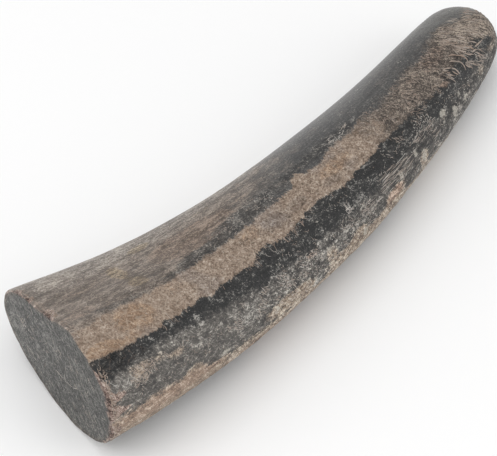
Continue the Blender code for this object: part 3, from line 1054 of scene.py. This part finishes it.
# Scuffs and lifted fibres. Each kind: how many, from and to along the horn, from and to round it, shortest
# and longest, heading and its spread (0 runs along the horn, 90 round it), curl, width, and shades.
SCUFFS = (
    (220, 0.036, 0.064, 54, 92, 0.0008, 0.0028, 52, 20, 20, 0.00013, 0.40, 0.90),
    (420, 0.056, 0.096, 56, 86, 0.0004, 0.0013, 15, 50, 25, 0.00014, 0.50, 1.00),
    (30, 0.084, 0.096, 49, 56, 0.0006, 0.0020, 0, 60, 10, 0.00015, 0.80, 1.00),
    (150, 0.084, 0.128, 52, 76, 0.0015, 0.0060, 0, 5, 6, 0.00012, 0.45, 0.95),
    (140, 0.003, 0.014, 54, 68, 0.0004, 0.0011, 60, 45, 50, 0.00015, 0.40, 0.85),
    (120, 0.008, 0.034, 54, 84, 0.0004, 0.0014, 60, 25, 15, 0.00012, 0.35, 0.75),
    (90, 0.050, 0.072, -13, 6, 0.0004, 0.0011, 10, 60, 30, 0.00013, 0.50, 0.90),
    (36, 0.098, 0.112, -10, -2, 0.0006, 0.0030, -10, 12, 12, 0.00014, 0.60, 1.00),
    (50, 0.143, 0.162, 24, 56, 0.0012, 0.0034, 60, 22, 60, 0.00020, 0.35, 0.85),
    (420, 0.112, 0.160, -6, 42, 0.0006, 0.0020, 50, 40, 60, 0.00014, 0.20, 0.70),
    (230, 0.152, 0.176, -14, 64, 0.0020, 0.0060, 50, 10, 30, 0.00017, 0.35, 0.80),
    (130, 0.055, 0.140, 38, 57, 0.0004, 0.0013, 0, 40, 30, 0.00012, 0.40, 0.90),
    (50, 0.116, 0.130, 42, 52, 0.0003, 0.0009, 0, 60, 20, 0.00015, 0.70, 1.00),
    (160, 0.112, 0.158, 56, 88, 0.0004, 0.0014, 15, 40, 20, 0.00014, 0.50, 1.00),
    (160, 0.003, 0.085, -48, 12, 0.0005, 0.0018, -2, 14, 12, 0.00010, 0.25, 0.70),
    (240, 0.010, 0.165, 94, 240, 0.0006, 0.0026, 30, 60, 40, 0.00014, 0.30, 0.90),
    (90, 0.006, 0.112, 6, 36, 0.0008, 0.0026, 50, 50, 60, 0.00010, 0.45, 0.85),
)
CLUMP = 0.0045  # the size of the clusters that scuffs gather in
# The thick strands that curl over the dark skin near the tip: start, clock angle, length, heading and curl.
CURLED_STRANDS = (
    (0.1500, 23, 0.0034, 36, 50), (0.1522, 31, 0.0040, 62, 60), (0.1484, 29, 0.0034, 46, 60),
    (0.1506, 36, 0.0042, 92, 80), (0.1520, 48, 0.0024, 60, -60), (0.1552, 38, 0.0030, 44, -70),
    (0.1576, 47, 0.0022, 10, 60), (0.1600, 44, 0.0052, 9, -8), (0.1444, 30, 0.0032, 30, 60),
    (0.1470, 36, 0.0032, 84, 60), (0.1536, 34, 0.0036, 92, 50), (0.1462, 39, 0.0024, 70, -60),
    (0.1575, 33, 0.0032, 60, 40), (0.1545, 27, 0.0030, 56, -50), (0.1600, 33, 0.0030, 50, 30),
)
picks = random.Random(5)
scuffs = []
for count, start, end, top, low, shortest, longest, heading, spread, curl, width, dull, pale in SCUFFS:
    laid = 0
    while laid < count:
        along = picks.uniform(start, end)
        clock = picks.uniform(top, low)
        if picks.random() > 0.4 + 1.8 * mottle(growth(along, clock), CLUMP, CLUMP):
            continue
        length = picks.triangular(shortest, longest, shortest)
        points = over_skin(along, clock, length, picks.gauss(heading, spread), picks.gauss(0.0, curl))
        scuffs.append((points, width * picks.uniform(0.7, 1.3), picks.uniform(dull, pale)))
        laid += 1
for along, clock, length, heading, curl in CURLED_STRANDS:
    points = over_skin(along, clock, length, heading, curl)
    scuffs.append((points, picks.uniform(0.00042, 0.00062), picks.uniform(0.35, 0.60)))
fibre_piece("lifted_fibres", scuffs)

# The frayed rim of the saw cut, thickest on the outer side.
RIM_FIBRES = 440
RIM_FRAYED = (-60.0, 122.0)  # clock angles
picks = random.Random(23)
rim_fibres = []
while len(rim_fibres) < RIM_FIBRES:
    clock = picks.uniform(*RIM_FRAYED)
    strength = frayed(0.0, clock)
    if picks.random() > strength**3:
        continue
    along = abs(picks.gauss(0.0008, 0.0009 * strength))
    heading = picks.choice((90.0, -90.0)) + picks.gauss(0.0, 40.0)
    points = over_skin(along, clock, picks.uniform(0.0005, 0.0014), heading, picks.gauss(0.0, 110.0))
    rim_fibres.append((points, picks.uniform(0.00015, 0.00032), picks.triangular(0.1, 0.8, 0.35)))
fibre_piece("frayed_rim", rim_fibres)

# Scratches on the sawn face: a forked one near its middle, and short ones that mostly follow the saw.
# Each of the forked scratch's runs: where it starts, its length and its heading.
FORKED_SCRATCH = (
    (-0.0194, 0.0165, 0.0028, 92), (-0.0192, 0.0137, 0.0040, -13), (-0.0231, 0.0146, 0.0036, -37),
    (-0.0150, 0.0140, 0.0040, 4),
)
FACE_SCRATCHES = 110
SCRATCHED_HALF_WIDTH = 0.021  # of the oval that the short scratches lie in
SCRATCHED_HALF_HEIGHT = 0.013
NICKS = 26  # small pale ones, in a cluster towards the inner side
NICKS_AT = (0.0008, 0.0176)  # across the box and up
NICKS_SPREAD = (0.0014, 0.0012)
picks = random.Random(31)
face_scratches = []
for y, z, length, heading in FORKED_SCRATCH:
    face_scratches.append((over_face(y, z, length, heading, 8.0), 0.00016, 0.8))
while len(face_scratches) < FACE_SCRATCHES:
    around = picks.uniform(0.0, 2.0 * math.pi)
    reach = math.sqrt(picks.random())
    y = CUT_MIDDLE.y + SCRATCHED_HALF_WIDTH * reach * math.cos(around)
    z = CUT_MIDDLE.z + SCRATCHED_HALF_HEIGHT * reach * math.sin(around)
    heading = math.degrees(SAW_SLOPE) + picks.choice((0.0, 0.0, 0.0, 70.0, -50.0)) + picks.gauss(0.0, 10.0)
    points = over_face(y, z, picks.triangular(0.0005, 0.0030, 0.0008), heading, picks.gauss(0.0, 10.0))
    face_scratches.append((points, picks.uniform(0.00008, 0.00014), picks.uniform(0.5, 0.85)))
for _ in range(NICKS):
    y = picks.gauss(NICKS_AT[0], NICKS_SPREAD[0])
    z = picks.gauss(NICKS_AT[1], NICKS_SPREAD[1])
    points = over_face(y, z, picks.uniform(0.0003, 0.0009), picks.uniform(0.0, 180.0), 20.0)
    face_scratches.append((points, picks.uniform(0.00012, 0.00018), picks.uniform(0.6, 1.0)))
fibre_piece("face_scratches", face_scratches)

# The studio
# A pale floor that runs out of the picture, a dim even room, a wide soft light overhead and one on each side,
# and two low white cards far behind and in front, which the horn's flanks mirror.

FLOOR_SIZE = 6.0
FLOOR_COLOUR = (0.97, 0.97, 0.97, 1.0)
FLOOR_ROUGHNESS = 0.9
ROOM_STRENGTH = 0.47

floor_grid = bmesh.new()
bmesh.ops.create_grid(floor_grid, x_segments=1, y_segments=1, size=FLOOR_SIZE / 2)
floor_mesh = bpy.data.meshes.new("floor")
floor_grid.to_mesh(floor_mesh)
floor_grid.free()
floor_material = bpy.data.materials.new("floor")
floor_material.use_nodes = True
floor_inputs = floor_material.node_tree.nodes["Principled BSDF"].inputs
floor_inputs["Base Color"].default_value = FLOOR_COLOUR
floor_inputs["Roughness"].default_value = FLOOR_ROUGHNESS
floor_mesh.materials.append(floor_material)
floor = placed("floor", floor_mesh)

room = bpy.data.worlds.new("room")
room.use_nodes = True
room_inputs = room.node_tree.nodes["Background"].inputs
room_inputs["Color"].default_value = (1.0, 1.0, 1.0, 1.0)
room_inputs["Strength"].default_value = ROOM_STRENGTH
bpy.context.scene.world = room

AIM = Vector((-0.01093, 0.01053, 0.0))  # the point on the floor that the camera looks at
CAMERA_DISTANCE = 0.700
CAMERA_AZIMUTH = math.radians(-34.28)
CAMERA_ELEVATION = math.radians(45.0)
CAMERA_LENS = 189.2
RIGHT = Vector((math.cos(CAMERA_AZIMUTH), math.sin(CAMERA_AZIMUTH), 0.0))
AWAY = Vector((-math.sin(CAMERA_AZIMUTH), math.cos(CAMERA_AZIMUTH), 0.0))


def soft_light(name, right, away, up, width, height, power):
    """A soft panel light that faces the horn, placed to the right of, away from and above it."""
    lamp = bpy.data.lights.new(name, "AREA")
    lamp.shape = "RECTANGLE"
    lamp.size = width
    lamp.size_y = height
    lamp.energy = power
    holder = placed(name, lamp)
    holder.location = AIM + RIGHT * right + AWAY * away + Vector((0.0, 0.0, up))
    holder.rotation_euler = (AIM - holder.location).to_track_quat("-Z", "Y").to_euler()


soft_light("top_panel", -0.2, -0.3, 1.6, 2.0, 2.0, 14.5)
soft_light("left_panel", -1.4, -0.4, 0.9, 1.2, 1.2, 7.5)
soft_light("right_panel", 1.4, -0.5, 0.8, 1.2, 1.2, 6.0)
soft_light("back_card", -0.3, 2.2, 0.14, 3.4, 0.28, 1.12)
soft_light("front_card", 0.3, -1.8, 0.16, 3.0, 0.30, 2.6)

back = Vector((0.0, 0.0, math.sin(CAMERA_ELEVATION))) - AWAY * math.cos(CAMERA_ELEVATION)
camera_data = bpy.data.cameras.new("camera")
camera_data.lens = CAMERA_LENS
camera_data.clip_start = 0.01
camera = placed("camera", camera_data)
camera.location = AIM + CAMERA_DISTANCE * back
camera.rotation_euler = back.to_track_quat("Z", "Y").to_euler()
bpy.context.scene.camera = camera
bpy.context.scene.view_settings.view_transform = "Standard"
